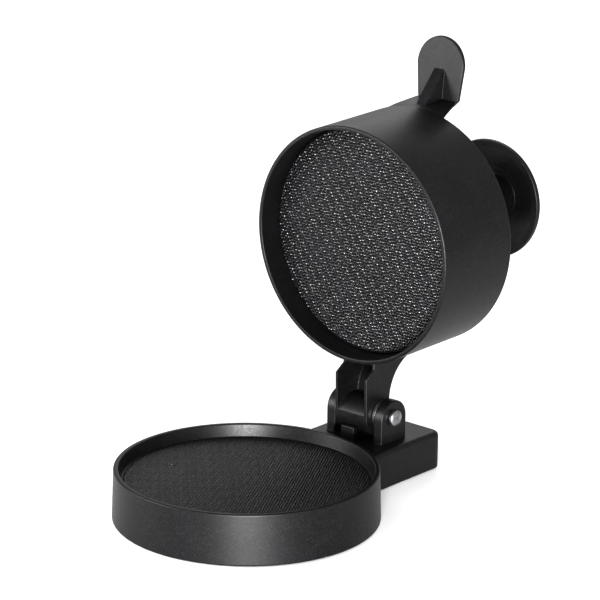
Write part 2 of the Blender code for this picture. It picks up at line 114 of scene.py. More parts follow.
PLATE_R = 56.6 * MM
PLATE_RECESS = 12.0 * MM
PLATE_T = 3.5 * MM
PLATE_SKIRT = 7.0 * MM
PLATE_PEBBLE = 1.7 * MM
PLATE_PEBBLE_HEIGHT = 0.65 * MM
FLOOR_PEBBLE = 1.5 * MM
FLOOR_PEBBLE_HEIGHT = 0.5 * MM

SPINDLE_R = 5.0 * MM
SLEEVE_R = 7.5 * MM
SEAT_START = 89.5 * MM
SPRING_R = 10.0 * MM
SPRING_WIRE_R = 0.9 * MM
SPRING_TURNS = 7.5
KNOB_START = 92.0 * MM
KNOB_HUB_R = 11.5 * MM
KNOB_R = 31.0 * MM
KNOB_END = 126.0 * MM

TAB_FOOT_Y = -61.0 * MM
TAB_FOOT_Z = 86.93 * MM
TAB_FOOT_HALF = 12.6 * MM
TAB_T = 2.2 * MM
TAB_R = 14.4 * MM
TAB_CENTRE_Y = -77.3 * MM
TAB_LEAN = math.radians(6.1)
TONGUE_T = 3.0 * MM
CLEAR = 0.3 * MM
SNUG = 0.15 * MM

ROUND = 256
SMALL_ROUND = 96

BASE_FRAME = Matrix.Translation((0, DISH_Y, 0))
LID_FRAME = (
    Matrix.Translation(HINGE) @ Matrix.Rotation(-CLOSE, 4, "X") @ Matrix.Translation((0, -PIN_Y, -PIN_Z))
)
PRESS_FRAME = LID_FRAME @ Matrix.Translation((0, 0, FLOOR_Z + MOUTH_GAP))
PIN_FRAME = BASE_FRAME @ Matrix.Translation((0, PIN_Y, PIN_Z)) @ Matrix.Rotation(math.radians(90), 4, "Y")


# ---------------------------------------------------------------------------------------------------
# Camera, floor and lights
# ---------------------------------------------------------------------------------------------------

def make_camera():
    azimuth, elevation, roll = (math.radians(a) for a in (40.96, 16.74, 0.79))
    distance = 1.2962
    aim = Vector((-0.0014, DISH_Y + 0.0384, 0.0993))
    right = Vector((math.cos(azimuth), math.sin(azimuth), 0))
    level = math.cos(elevation)
    back = Vector((math.sin(azimuth) * level, -math.cos(azimuth) * level, math.sin(elevation)))
    up = back.cross(right)
    rolled_right = math.cos(roll) * right + math.sin(roll) * up
    rolled_up = math.cos(roll) * up - math.sin(roll) * right
    data = bpy.data.cameras.new("camera")
    data.sensor_width = 36.0
    data.lens = 162.9
    data.clip_start = 0.05
    data.clip_end = 20.0
    camera = bpy.data.objects.new("camera", data)
    turn = Matrix((rolled_right, rolled_up, back)).transposed().to_4x4()
    camera.matrix_world = Matrix.Translation(aim + distance * back) @ turn
    bpy.context.scene.collection.objects.link(camera)
    bpy.context.scene.camera = camera


def make_light(name, location, aim, size, power, color=(1, 1, 1)):
    data = bpy.data.lights.new(name, "AREA")
    data.shape = "RECTANGLE"
    data.size, data.size_y = size
    data.energy = power
    data.color = color
    light = bpy.data.objects.new(name, data)
    light.location = location
    direction = Vector(aim) - Vector(location)
    light.rotation_mode = "QUATERNION"
    light.rotation_quaternion = direction.to_track_quat("-Z", "Y")
    bpy.context.scene.collection.objects.link(light)


def make_stage():
    """A pale floor that runs to the horizon, a pale surround and three soft boxes."""
    world = bpy.data.worlds.new("studio")
    world.use_nodes = True
    background = world.node_tree.nodes["Background"]
    background.inputs["Color"].default_value = (1.0, 1.0, 1.0, 1.0)
    background.inputs["Strength"].default_value = 1.0
    bpy.context.scene.world = world
    bpy.context.scene.view_settings.view_transform = "Standard"
    bpy.context.scene.view_settings.gamma = 0.78

    mesh_data = bmesh.new()
    reach = 6.0
    corners = ((-reach, -reach), (reach, -reach), (reach, reach), (-reach, reach))
    mesh_data.faces.new([mesh_data.verts.new((x, y, 0)) for x, y in corners])
    mesh = bpy.data.meshes.new("floor")
    mesh_data.to_mesh(mesh)
    mesh_data.free()
    floor = bpy.data.objects.new("floor", mesh)
    bpy.context.scene.collection.objects.link(floor)
    mesh.materials.append(floor_material())

    # Low from the front left, for the faces that look forward; high from behind, for the tops; and low
    # from the camera's side.
    make_light("front_left", (-1.05, -1.27, 0.40), (0, 0, 0.11), (0.8, 0.5), 40)
    make_light("rear_left", (-0.80, 1.25, 0.95), (0, 0, 0.11), (0.9, 0.7), 4.5)
    make_light("front_right", (1.15, -1.32, 0.14), (0, 0, 0.03), (0.5, 0.24), 165)


# ---------------------------------------------------------------------------------------------------
# Materials
# ---------------------------------------------------------------------------------------------------

def new_material(name):
    material = bpy.data.materials.new(name)
    material.use_nodes = True
    return material, material.node_tree.nodes, material.node_tree.links


def floor_material():
    material, nodes, _ = new_material("pale_floor")
    shader = nodes["Principled BSDF"]
    shader.inputs["Base Color"].default_value = (0.93, 0.93, 0.93, 1)
    shader.inputs["Roughness"].default_value = 0.9
    shader.inputs["Specular IOR Level"].default_value = 0.1
    return material


def add_noise(nodes, links, source, scale, detail=2.0, roughness=0.5):
    texture = nodes.new("ShaderNodeTexNoise")
    texture.inputs["Scale"].default_value = scale
    texture.inputs["Detail"].default_value = detail
    texture.inputs["Roughness"].default_value = roughness
    links.new(source, texture.inputs["Vector"])
    return texture.outputs["Fac"]


def add_ramp(nodes, links, value, stops):
    ramp = nodes.new("ShaderNodeValToRGB")
    elements = ramp.color_ramp.elements
    while len(elements) < len(stops):
        elements.new(0.5)
    for element, (position, color) in zip(elements, stops):
        element.position = position
        element.color = (*color, 1)
    links.new(value, ramp.inputs["Fac"])
    return ramp.outputs["Color"]


def add_range(nodes, links, value, low, high):
    spread = nodes.new("ShaderNodeMapRange")
    spread.inputs["To Min"].default_value = low
    spread.inputs["To Max"].default_value = high
    links.new(value, spread.inputs["Value"])
    return spread.outputs["Result"]


def add_bump(nodes, links, height, distance, strength, normal=None):
    bump = nodes.new("ShaderNodeBump")
    bump.inputs["Distance"].default_value = distance
    bump.inputs["Strength"].default_value = strength
    links.new(height, bump.inputs["Height"])
    if normal:
        links.new(normal, bump.inputs["Normal"])
    return bump.outputs["Normal"]


def coated_material(name, dark, light, roughness, grain, fleck_light, specular, groove_specular=None):
    """Near-black powder coat over cast aluminium: a fine orange-peel grain with faint metallic flecks.

    With groove_specular, the gloss falls to that level where the surface bends inwards: a painted shade that
    darkens the grooves between pebbles. Without it, the coat's edges are shaded as slightly rounded."""
    material, nodes, links = new_material(name)
    shader = nodes["Principled BSDF"]
    place = nodes.new("ShaderNodeTexCoord").outputs["Object"]
    mottle = add_noise(nodes, links, place, 60.0, 3.0)
    tone = add_ramp(nodes, links, mottle, [(0.3, dark), (0.7, light)])

    flecks = nodes.new("ShaderNodeTexVoronoi")
    flecks.inputs["Scale"].default_value = 4200.0
    links.new(place, flecks.inputs["Vector"])
    pick = nodes.new("ShaderNodeSeparateColor")
    links.new(flecks.outputs["Color"], pick.inputs["Color"])
    lit = add_ramp(nodes, links, pick.outputs["Red"], [(0.90, (0, 0, 0)), (0.99, (1, 1, 1))])
    mix = nodes.new("ShaderNodeMix")
    mix.data_type = "RGBA"
    links.new(lit, mix.inputs["Factor"])
    links.new(tone, mix.inputs["A"])
    mix.inputs["B"].default_value = (*fleck_light, 1)
    links.new(mix.outputs["Result"], shader.inputs["Base Color"])

    patches = add_noise(nodes, links, place, 900.0, 2.0)
    rough = add_range(nodes, links, patches, roughness - 0.06, roughness + 0.08)
    links.new(rough, shader.inputs["Roughness"])
    if groove_specular is None:
        shader.inputs["Specular IOR Level"].default_value = specular
    else:
        # Painted shade: the specular level drops where Pointiness finds a groove, darkening the hollows
        # between pebbles.
        groove_shade = nodes.new("ShaderNodeMapRange")
        groove_shade.inputs["From Min"].default_value = 0.44
        groove_shade.inputs["From Max"].default_value = 0.53
        groove_shade.inputs["To Min"].default_value = groove_specular
        groove_shade.inputs["To Max"].default_value = specular
        links.new(nodes.new("ShaderNodeNewGeometry").outputs["Pointiness"], groove_shade.inputs["Value"])
        links.new(groove_shade.outputs["Result"], shader.inputs["Specular IOR Level"])
    soft = nodes.new("ShaderNodeBevel")
    soft.samples = 4
    soft.inputs["Radius"].default_value = 0.45 * MM if groove_specular is None else 0.0
    fine = add_noise(nodes, links, place, 1500.0, 3.0, 0.6)
    peel = add_bump(nodes, links, fine, 0.05 * MM, grain, soft.outputs["Normal"])
    coarse = add_noise(nodes, links, place, 220.0, 2.0)
    wave = add_bump(nodes, links, coarse, 0.08 * MM, 0.25 * grain, peel)
    links.new(wave, shader.inputs["Normal"])
    return material


def metal_material(name, low, high, roughness, scratch_scale, bump):
    """Bare metal with a soft turned finish and slight blotches."""
    material, nodes, links = new_material(name)
    shader = nodes["Principled BSDF"]
    place = nodes.new("ShaderNodeTexCoord").outputs["Object"]
    tone = add_ramp(nodes, links, add_noise(nodes, links, place, 350.0, 4.0), [(0.3, low), (0.7, high)])
    links.new(tone, shader.inputs["Base Color"])
    shader.inputs["Metallic"].default_value = 1.0
    fine = add_noise(nodes, links, place, scratch_scale, 3.0)
    links.new(add_range(nodes, links, fine, roughness - 0.08, roughness + 0.1), shader.inputs["Roughness"])
    links.new(add_bump(nodes, links, fine, 0.02 * MM, bump), shader.inputs["Normal"])
    return material


def rubber_material():
    material, nodes, links = new_material("moulded_rubber")
    shader = nodes["Principled BSDF"]
    place = nodes.new("ShaderNodeTexCoord").outputs["Object"]
    mottle = add_noise(nodes, links, place, 300.0, 3.0)
    tone = add_ramp(nodes, links, mottle, [(0.3, (0.016,) * 3), (0.7, (0.028,) * 3)])
    links.new(tone, shader.inputs["Base Color"])
    links.new(add_range(nodes, links, mottle, 0.7, 0.88), shader.inputs["Roughness"])
    grain = add_noise(nodes, links, place, 1800.0)
    links.new(add_bump(nodes, links, grain, 0.04 * MM, 0.5), shader.inputs["Normal"])
    return material


# ---------------------------------------------------------------------------------------------------
# Shape functions
# ---------------------------------------------------------------------------------------------------

def rounded(corners, steps=5):
    """A closed outline from (across, up, radius) corners, with each corner rounded to its radius."""
    points = []
    count = len(corners)
    for i, (x, y, radius) in enumerate(corners):
        here = Vector((x, y))
        if radius == 0:
            points.append((x, y))
            continue
        before = Vector(corners[i - 1][:2]) - here
        after = Vector(corners[(i + 1) % count][:2]) - here
        half = before.angle(after) / 2
        reach = min(radius / math.tan(half), 0.49 * before.length, 0.49 * after.length)
        start = here + before.normalized() * reach
        end = here + after.normalized() * reach
        radius = reach * math.tan(half)
        centre = here + (before.normalized() + after.normalized()).normalized() * (radius / math.sin(half))
        first = start - centre
        sweep = math.atan2(first.x * (end - centre).y - first.y * (end - centre).x, first.dot(end - centre))
        for k in range(steps + 1):
            turn = Matrix.Rotation(sweep * k / steps, 2)
            points.append(tuple(centre + turn @ first))
    return points


def arc(across, up, radius, start_deg, end_deg, steps):
    angles = [math.radians(start_deg + (end_deg - start_deg) * i / steps) for i in range(steps + 1)]
    return [(across + radius * math.cos(a), up + radius * math.sin(a)) for a in angles]


def inset(outline, distance):
    """The closed outline moved inwards. The outline runs anticlockwise."""
    moved = []
    count = len(outline)
    for i in range(count):
        here = Vector(outline[i])
        before = (here - Vector(outline[i - 1])).normalized()
        after = (Vector(outline[(i + 1) % count]) - here).normalized()
        normal = Vector((-before.y - after.y, before.x + after.x)).normalized()
        along = Vector((-before.y, before.x))
        moved.append(tuple(here + normal * (distance / max(0.35, normal.dot(along)))))
    return moved


def anticlockwise(outline):
    area = sum(a[0] * b[1] - b[0] * a[1] for a, b in zip(outline, outline[1:] + outline[:1]))
    return outline if area > 0 else outline[::-1]


def loft(rings):
    mesh_data = bmesh.new()
    rows = [[mesh_data.verts.new(point) for point in ring] for ring in rings]
    for row, after in zip(rows, rows[1:]):
        for i in range(len(row)):
            j = (i + 1) % len(row)
            mesh_data.faces.new((row[i], row[j], after[j], after[i]))
    mesh_data.faces.new(rows[0])
    mesh_data.faces.new(rows[-1])
    return mesh_data


def slab(outline, low, high, edge, place, steps=4):
    """An extruded outline, rounded where its ends meet its sides. place(across, up, along) gives a point."""
    outline = anticlockwise(outline)
    rings = []
    for end, inwards in ((low, 1), (high, -1)):
        levels = range(steps + 1) if inwards == 1 else range(steps, -1, -1)
        for k in levels:
            turn = math.radians(90 * k / steps)
            shape = inset(outline, edge * (1 - math.sin(turn)))
            along = end + inwards * edge * (1 - math.cos(turn))
            rings.append([place(across, up, along) for across, up in shape])
    return loft(rings)


def along_x(across, up, along):
    return (along, across, up)


def along_z(across, up, along):
    return (across, up, along)


def turned(outline, segments):
    """A solid of revolution about Z. The outline's (radius, z) points go round once; radius 0 is a pole."""
    mesh_data = bmesh.new()
    rings = []
    for radius, z in outline:
        if radius == 0:
            rings.append([mesh_data.verts.new((0, 0, z))])
            continue
        angles = [2 * math.pi * i / segments for i in range(segments)]
        rings.append([mesh_data.verts.new((radius * math.cos(a), radius * math.sin(a), z)) for a in angles])
    for ring, after in zip(rings, rings[1:] + rings[:1]):
        if len(ring) == 1 and len(after) == 1:
            continue
        for i in range(segments):
            j = (i + 1) % segments
            corners = [ring[i % len(ring)], ring[j % len(ring)], after[j % len(after)], after[i % len(after)]]
            mesh_data.faces.new(list(dict.fromkeys(corners)))
    return mesh_data


def object_of(name, mesh_data, matrix):
    bmesh.ops.recalc_face_normals(mesh_data, faces=mesh_data.faces)
    mesh = bpy.data.meshes.new(name)
    mesh_data.to_mesh(mesh)
    mesh_data.free()
    mesh.transform(matrix)
    obj = bpy.data.objects.new(name, mesh)
    bpy.context.scene.collection.objects.link(obj)
    return obj


def combine(target, mesh_data, matrix, operation):
    """Joins a shape to the target, or cuts it away, and applies the result."""
    tool = object_of(target.name + "_tool", mesh_data, matrix)
    modifier = target.modifiers.new("combine", "BOOLEAN")
    modifier.object = tool
    modifier.operation = operation
    modifier.solver = "EXACT"
    graph = bpy.context.evaluated_depsgraph_get()
    mesh = bpy.data.meshes.new_from_object(target.evaluated_get(graph))
    target.modifiers.clear()
    old = target.data
    if len(mesh.vertices) < 0.5 * len(old.vertices):
        raise RuntimeError(f"the Boolean lost the shape of {target.name}")
    target.data = mesh
    bpy.data.meshes.remove(old)
    bpy.data.objects.remove(tool)


def finish_piece(obj, body, nodes, material, slot, sharp_deg=32):
    """Shades the piece, gives it its material, lets it ride on its body and stand for its CAD nodes."""
    obj.data.shade_smooth()
    obj.data.set_sharp_from_angle(angle=math.radians(sharp_deg))
    modifier = obj.modifiers.new("weighted_normals", "WEIGHTED_NORMAL")
    modifier.keep_sharp = True
    obj.data.materials.clear()
    obj.data.materials.append(material)
    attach(obj, body)
    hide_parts(*nodes)
    return obj


# ---------------------------------------------------------------------------------------------------
# Pebbled faces
# ---------------------------------------------------------------------------------------------------

def pebble_centre(i, j, pitch):
    """The centre of one pebble: a staggered grid whose points stray by up to a fifth of the pitch."""
    stray = 0.2 * pitch
    turn = 12.9898 * i + 78.233 * j
    x = (i + 0.5 * (j % 2)) * pitch + stray * math.sin(43.7 * turn)
    y = j * pitch * math.sqrt(3) / 2 + stray * math.sin(91.3 * turn + 1.7)
    return x, y


def pebble_height(x, y, pitch):
    """Rounded pebbles with grooves between them. 0 is the groove's floor, 1 is a crown."""
    row = round(y / (pitch * math.sqrt(3) / 2))
    far = []
    for j in (row - 1, row, row + 1):
        column = round(x / pitch - 0.5 * (j % 2))
        for i in (column - 1, column, column + 1):
            centre = pebble_centre(i, j, pitch)
            far.append(math.hypot(x - centre[0], y - centre[1]))
    nearest, second = sorted(far)[:2]
    share = min(1.0, (second - nearest) / (0.75 * pitch))
    return math.sin(0.5 * math.pi * share)


def pebbled_disc(radius, pitch, height, margin):
    """A round face at z 0 covered in pebbles, as a fine triangular grid whose border lies on the circle.

    It returns the bmesh and the border's vertices in order round the circle."""
    mesh_data = bmesh.new()
    spacing = pitch / 5
    row_step = spacing * math.sqrt(3) / 2
    rows = int(radius / row_step) + 2
    columns = int(radius / spacing) + 2
    grid = {}
    for j in range(-rows, rows + 1):
        for i in range(-columns, columns + 1):
            x = (i + 0.5 * (j % 2)) * spacing
            y = j * row_step
            if math.hypot(x, y) < radius + 1.2 * spacing:
                grid[i, j] = (x, y)
    inside = {key for key, (x, y) in grid.items() if math.hypot(x, y) < radius - 0.25 * spacing}
    made = {}

    def vertex(key):
        if key not in made:
            x, y = grid[key]
            far = math.hypot(x, y)
            if key not in inside:
                x, y, far = x * radius / far, y * radius / far, radius
            fade = max(0.0, min(1.0, (radius - margin - far) / margin))
            made[key] = mesh_data.verts.new((x, y, height * fade * pebble_height(x, y, pitch)))
        return made[key]

    for i, j in grid:
        shift = j % 2
        for corners in (
            ((i, j), (i + 1, j), (i + shift, j + 1)),
            ((i + shift, j + 1), (i + 1, j), (i + 1 + shift, j + 1)),
        ):
            if all(c in grid for c in corners) and any(c in inside for c in corners):
                mesh_data.faces.new([vertex(c) for c in corners])
    border_edges = [e for e in mesh_data.edges if e.is_boundary]
    border = list({v for e in border_edges for v in e.verts})
    border.sort(key=lambda v: math.atan2(v.co.y, v.co.x))
    return mesh_data, border


def close_disc(mesh_data, border, profile):
    """Carries the border down through (radius, z) rings and closes it with a flat cap."""
    ring = border
    for radius, z in profile:
        lower = []
        for v in border:
            far = math.hypot(v.co.x, v.co.y)
            lower.append(mesh_data.verts.new((v.co.x * radius / far, v.co.y * radius / far, z)))
        for i in range(len(ring)):
            j = (i + 1) % len(ring)
            mesh_data.faces.new((ring[i], ring[j], lower[j], lower[i]))
        ring = lower
    mesh_data.faces.new(ring)


# ---------------------------------------------------------------------------------------------------
# Base
# ---------------------------------------------------------------------------------------------------

FOOT_R = 5.5 * MM
FOOT_T = 3.0 * MM
FEET = ("foot_front_left", "foot_front_right", "foot_rear_left", "foot_rear_right")
FLOOR_SKIN_R = 59.0 * MM
FLOOR_SKIN_T = 0.5 * MM


def foot_centre(name):
    low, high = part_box(name)
    return (low.x + high.x) / 2, (low.y + high.y) / 2 - DISH_Y


def ear_outline():
    foot = [(EAR_Y - EAR_R, EAR_FOOT_Z), (EAR_Y + EAR_R, EAR_FOOT_Z)]
    return foot + arc(EAR_Y, EAR_Z, EAR_R, 0, 180, 40)


def make_base(cast):
    skin_z = FLOOR_Z - FLOOR_SKIN_T
    dish = rounded(
        [
            (0, skin_z, 0),
            (FLOOR_SKIN_R, skin_z, 0),
            (FLOOR_SKIN_R, FLOOR_Z, 0.15 * MM),
            (FLOOR_R + 0.35 * MM, FLOOR_Z, 0.8 * MM),
            (61.05 * MM, RIM_Z, 0.7 * MM),
            (RIM_R - 0.1 * MM, RIM_Z, 0.8 * MM),
            (DISH_FOOT_R, FOOT_PROUD, 0.8 * MM),
            (61.4 * MM, FOOT_PROUD, 0.5 * MM),
            (60.6 * MM, 13.0 * MM, 2.0 * MM),
            (58.6 * MM, FLOOR_Z - CASTING_WALL, 1.5 * MM),
            (0, FLOOR_Z - CASTING_WALL, 0),
        ]
    )
    base = object_of("base_casting_body", turned(dish, ROUND), BASE_FRAME)

    block_front = 50.0 * MM
    block_rear = base_high.y - DISH_Y
    half = BLOCK_HALF_WIDTH
    plan = rounded(
        [
            (-half, block_front, 0),
            (half, block_front, 0),
            (half, block_rear, BLOCK_CORNER_R),
            (-half, block_rear, BLOCK_CORNER_R),
        ],
        10,
    )
    plan = anticlockwise(plan)
    rings = []
    steps = 8
    foot_edge = 0.8 * MM
    foot_turns = [math.radians(90 * k / 4) for k in range(5)]
    levels = [(foot_edge * (1 - math.sin(a)), FOOT_PROUD + foot_edge * (1 - math.cos(a))) for a in foot_turns]
    for k in range(steps + 1):
        turn = math.radians(90 * k / steps)
        levels.append((BLOCK_FILLET * (1 - math.cos(turn)), BLOCK_Z - BLOCK_FILLET * (1 - math.sin(turn))))
    for distance, z in levels:
        rings.append([(x, y, z) for x, y in inset(plan, distance)])
    block = object_of("block", loft(rings), BASE_FRAME)
    trim_r = 62.2 * MM
    trim_top = 30 * MM
    trim = turned([(0, -MM), (trim_r, -MM), (trim_r, trim_top), (0, trim_top)], ROUND)
    combine(block, trim, BASE_FRAME, "DIFFERENCE")
    block_data = bmesh.new()
    block_data.from_mesh(block.data)
    combine(base, block_data, Matrix.Identity(4), "UNION")
    bpy.data.objects.remove(block)

    ear_edge = 0.7 * MM
    for low, high in ((EAR_INNER_X, EAR_OUTER_X), (-EAR_OUTER_X, -EAR_INNER_X)):
        combine(base, slab(ear_outline(), low, high, ear_edge, along_x), BASE_FRAME, "UNION")
    lug_half = 4.1 * MM
    lug_front = 73.7 * MM
    lug_top = 26.7 * MM
    lug_edge = 0.5 * MM
    lug = rounded(
        [
            (lug_front, EAR_FOOT_Z, 0),
            (79.0 * MM, EAR_FOOT_Z, 0),
            (76.8 * MM, lug_top, lug_edge),
            (lug_front, lug_top, lug_edge),
        ]
    )
    combine(base, slab(lug, -lug_half, lug_half, lug_edge, along_x), BASE_FRAME, "UNION")
    # This pad stands under the heel of the open arm, which stops a little above it.
    pad_half = 9.0 * MM
    pad_edge = 0.4 * MM
    pad = rounded(
        [
            (88.5 * MM, EAR_FOOT_Z, 0),
            (98.0 * MM, EAR_FOOT_Z, 0),
            (97.0 * MM, 20.2 * MM, pad_edge),
            (89.0 * MM, 20.1 * MM, pad_edge),
        ]
    )
    combine(base, slab(pad, -pad_half, pad_half, pad_edge, along_x), BASE_FRAME, "UNION")

    hollow_half = half - CASTING_WALL
    hollow_front = 68.0 * MM
    hollow_rear = block_rear - CASTING_WALL
    hollow_r = 3.0 * MM
    hollow = rounded(
        [
            (-hollow_half, hollow_front, hollow_r),
            (hollow_half, hollow_front, hollow_r),
            (hollow_half, hollow_rear, hollow_r),
            (-hollow_half, hollow_rear, hollow_r),
        ],
        8,
    )
    combine(base, slab(hollow, -5 * MM, BLOCK_Z - CASTING_WALL, 1.5 * MM, along_z), BASE_FRAME, "DIFFERENCE")
    for name in FEET:
        x, y = foot_centre(name)
        place = BASE_FRAME @ Matrix.Translation((x, y, 0))
        ceiling = (FLOOR_Z if y < 0 else BLOCK_Z) - CASTING_WALL / 2
        post_r = FOOT_R + 2.5 * MM
        post_foot = FOOT_PROUD + 0.4 * MM
        post_edge = 0.5 * MM
        post = [(0, post_foot, 0), (post_r, post_foot, post_edge), (post_r, ceiling, 0), (0, ceiling, 0)]
        combine(base, turned(rounded(post), SMALL_ROUND), place, "UNION")
        socket_r = FOOT_R + CLEAR
        socket = [(0, -MM), (socket_r, -MM), (socket_r, FOOT_T + CLEAR), (0, FOOT_T + CLEAR)]
        combine(base, turned(socket, SMALL_ROUND), place, "DIFFERENCE")
    hole = [(0, -30 * MM), (PIN_R + CLEAR, -30 * MM), (PIN_R + CLEAR, 30 * MM), (0, 30 * MM)]
    combine(base, turned(hole, SMALL_ROUND), PIN_FRAME, "DIFFERENCE")
    finish_piece(base, "base", ["base_casting"], cast, "black_cast_aluminium")


def make_dish_floor(cast):
    """The pebbled face of the dish floor. It fills a shallow recess in the casting."""
    radius = FLOOR_SKIN_R - 0.03 * MM
    edge = 0.15 * MM
    mesh_data, border = pebbled_disc(radius - edge, FLOOR_PEBBLE, FLOOR_PEBBLE_HEIGHT, 0.3 * MM)
    close_disc(mesh_data, border, [(radius, -edge), (radius, -FLOOR_SKIN_T + 0.03 * MM)])
    place = BASE_FRAME @ Matrix.Translation((0, 0, FLOOR_Z))
    floor = object_of("dish_floor_face", mesh_data, place)
    finish_piece(floor, "base", ["base_casting"], cast, "black_cast_aluminium", 60)


def make_feet(rubber):
    for name in FEET:
        x, y = foot_centre(name)
        outline = rounded(
            [
                (0, 0.5 * MM, 0),
                (1.5 * MM, 0.5 * MM, 0.3 * MM),
                (2.2 * MM, 0, 0.3 * MM),
                (FOOT_R, 0, 0.6 * MM),
                (FOOT_R, FOOT_T, 0.3 * MM),
                (0, FOOT_T, 0),
            ]
        )
        mesh_data = turned(outline, 64)
        foot = object_of(name + "_rubber", mesh_data, BASE_FRAME @ Matrix.Translation((x, y, 0)))
        finish_piece(foot, "base", [name], rubber, "black_rubber")


def make_pin(steel):
    head_r = 4.1 * MM
    head_start = EAR_OUTER_X + CLEAR
    head_t = 2.6 * MM
    tail = 20.8 * MM
    crown = head_start + head_t
    outline = rounded(
        [
            (0, -tail, 0),
            (PIN_R, -tail, 0.6 * MM),
            (PIN_R, head_start, 0.1 * MM),
            (head_r, head_start, 0.25 * MM),
            (head_r, crown - 0.9 * MM, 0.7 * MM),
            (head_r * 0.72, crown - 0.25 * MM, 1.2 * MM),
            (head_r * 0.3, crown - 0.02 * MM, 0.8 * MM),
            (0, crown, 0),
        ]
    )
    pin = object_of("hinge_pin_rivet", turned(outline, SMALL_ROUND), PIN_FRAME)
    finish_piece(pin, "base", ["hinge_pin"], steel, "bright_steel")


# ---------------------------------------------------------------------------------------------------
# Lid
# ---------------------------------------------------------------------------------------------------

def arm_outline():
    points = [(ARM_ROOT_Y, 26.6 * MM), (63.2 * MM, 26.6 * MM), (67.1 * MM, ARM_UNDER)]
    points += [(y, max(z, ARM_UNDER)) for y, z in arc(PIN_Y, PIN_Z, KNUCKLE_R, -90, 0, 24)]
    points += [(PIN_Y + KNUCKLE_R, ARM_TOP)]
    points += arc(ARM_FILLET_Y, ARM_TOP + ARM_FILLET_R, ARM_FILLET_R, -90, -160, 24)
    points += [(ARM_ROOT_Y, 58.0 * MM)]
    return points


def channel_outline():
    end_y = 61.2 * MM
    mouth_z = 15.0 * MM
    web_r = ARM_FILLET_R + WEB
    lowest = math.degrees(math.acos((ARM_FILLET_Y - end_y) / web_r))
    points = [(end_y, mouth_z)]
    points += arc(ARM_FILLET_Y, ARM_TOP + ARM_FILLET_R, web_r, -180 + lowest, -96, 20)
    points += arc(91.2 * MM, 31.2 * MM, 11.3 * MM, 160, 245, 24)
    points += [(PIN_Y, mouth_z)]
    return points


def tongue_data():
    """A tongue that carries the cylinder's wall back to the tab, narrowing and flattening on the way."""
    # Height, top distance from the axis, half width, and how far the sides droop.
    stations = [
        (66.8 * MM, 59.3 * MM, 17.8 * MM, 2.66 * MM),
        (70.25 * MM, 59.78 * MM, 17.8 * MM, 2.66 * MM),
        (73.7 * MM, 60.3 * MM, 16.72 * MM, 2.17 * MM),
        (80.0 * MM, 60.7 * MM, 14.75 * MM, 1.29 * MM),
        (86.9 * MM, 61.02 * MM, TAB_FOOT_HALF, 0.3 * MM),
        (88.3 * MM, 60.9 * MM, TAB_FOOT_HALF - 0.4 * MM, 0.3 * MM),
    ]
    steps = 16
    edge = 0.4 * MM
    rings = []
    for z, top, half, droop in stations:
        shares = [2 * i / steps - 1 for i in range(steps + 1)]
        under_half = half - TONGUE_T
        outer = [(half * share, droop * share**2 - top) for share in shares]
        under = [(under_half * share, droop * share**2 - top + TONGUE_T) for share in reversed(shares)]
        corners = []
        for side in (outer, under):
            corners += [(x, y, edge if i in (0, steps) else 0) for i, (x, y) in enumerate(side)]
        rings.append([(x, y, z) for x, y in rounded(corners, 3)])
    return loft(rings)


def tab_data():
    root_half = TAB_FOOT_HALF - TONGUE_T
    root_y = TAB_FOOT_Y + 3.1 * MM
    outline = [(root_half, root_y), (TAB_FOOT_HALF, TAB_FOOT_Y)]
    outline += arc(0, TAB_CENTRE_Y, TAB_R, 0, -180, 60)
    outline += [(-TAB_FOOT_HALF, TAB_FOOT_Y), (-root_half, root_y)]

    def place(across, up, along):
        return (across, up, TAB_FOOT_Z + along + math.tan(TAB_LEAN) * (TAB_FOOT_Y - up))

    return slab(outline, 0, TAB_T, 0.6 * MM, place)


def rib_data():
    # Half width, Y and height of its foot, its top inside the tab, and its corner inside the tongue.
    corners = [
        (2.7 * MM, -59.6 * MM, 73.03 * MM),
        (3.15 * MM, -76.6 * MM, 89.36 * MM),
        (2.9 * MM, -59.6 * MM, 88.0 * MM),
    ]
    return loft([[(side * half, y, z) for half, y, z in corners] for side in (-1, 1)])


def make_housing(cast):
    inner_end = CYLINDER_L - END_WALL
    boss_bore = 9.9 * MM
    shell = rounded(
        [
            (BORE_R, 0, 0.5 * MM),
            (MOUTH_R, 0, 0.7 * MM),
            (CLOSED_END_R, CYLINDER_L, 0.8 * MM),
            (BOSS_R + 1.0 * MM, CYLINDER_L, 2.0 * MM),
            (BOSS_R, BOSS_TOP, 0.8 * MM),
            (boss_bore, BOSS_TOP, 0.3 * MM),
            (boss_bore, inner_end, 0.3 * MM),
            (BORE_R, inner_end, 2.0 * MM),
        ]
    )
    housing = object_of("upper_housing_body", turned(shell, ROUND), PRESS_FRAME)
    arm = object_of("arm", slab(arm_outline(), -ARM_HALF_WIDTH, ARM_HALF_WIDTH, 0.5 * MM, along_x), LID_FRAME)
    channel = slab(channel_outline(), -CHANNEL_HALF_WIDTH, CHANNEL_HALF_WIDTH, 0.3 * MM, along_x)
    combine(arm, channel, LID_FRAME, "DIFFERENCE")
    arm_data = bmesh.new()
    arm_data.from_mesh(arm.data)
    combine(housing, arm_data, Matrix.Identity(4), "UNION")
    bpy.data.objects.remove(arm)
    combine(housing, tongue_data(), LID_FRAME, "UNION")
    combine(housing, tab_data(), LID_FRAME, "UNION")
    combine(housing, rib_data(), LID_FRAME, "UNION")
    bore_r = 5.1 * MM
    bore = [(0, -12 * MM), (bore_r, -12 * MM), (bore_r, 12 * MM), (0, 12 * MM)]
    combine(housing, turned(bore, SMALL_ROUND), PIN_FRAME, "DIFFERENCE")
    finish_piece(housing, "housing", ["upper_housing"], cast, "black_cast_aluminium")


def ring(inner_r, outer_r, start, end, edge=0.2 * MM):
    corners = ((inner_r, start), (outer_r, start), (outer_r, end), (inner_r, end))
    return rounded([(radius, z, edge) for radius, z in corners], 3)


